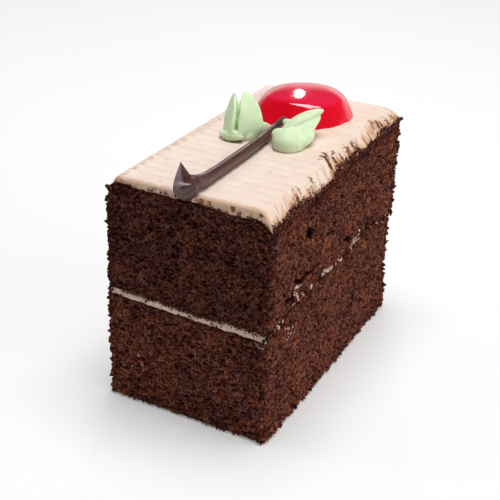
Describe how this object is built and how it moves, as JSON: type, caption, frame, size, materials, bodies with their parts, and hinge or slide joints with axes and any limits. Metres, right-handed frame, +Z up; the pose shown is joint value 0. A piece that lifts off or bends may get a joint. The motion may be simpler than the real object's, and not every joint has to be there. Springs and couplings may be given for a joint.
{
  "type": "slice of chocolate layer cake",
  "caption": "Cut oblong slice of chocolate sponge with a cream filling and combed frosting, topped with a dome of red jelly, piped green leaves and a chocolate stalk that hangs over one end.",
  "frame": {"origin": "centre of the flat base that the slice stands on", "axes": "+Z up through the layers; +Y along the slice, from the end where the stalk hangs over to the end with the jelly; +X across the slice, to the cut face on the right of someone who looks along +Y"},
  "size_m": [0.0485, 0.089, 0.0764],
  "materials": {
    "chocolate_sponge": "dark moist cake crumb, matt, open and uneven",
    "cream_filling": "thin spread cream with crumbs in it, satin",
    "coffee_frosting": "pale coffee-coloured whipped frosting, combed into fine ridges, satin",
    "red_jelly": "clear red set jelly, wet gloss",
    "green_cream": "pale green piped cream, soft satin",
    "piped_chocolate": "dark piped chocolate, half gloss"
  },
  "bodies": {
    "root": {"sponge_lower": "chocolate_sponge", "cream_filling": "cream_filling", "sponge_upper": "chocolate_sponge", "frosting": "coffee_frosting", "jelly": "red_jelly", "leaf_left": "green_cream", "leaf_right": "green_cream", "stalk": "piped_chocolate"}
  },
  "joints": []
}
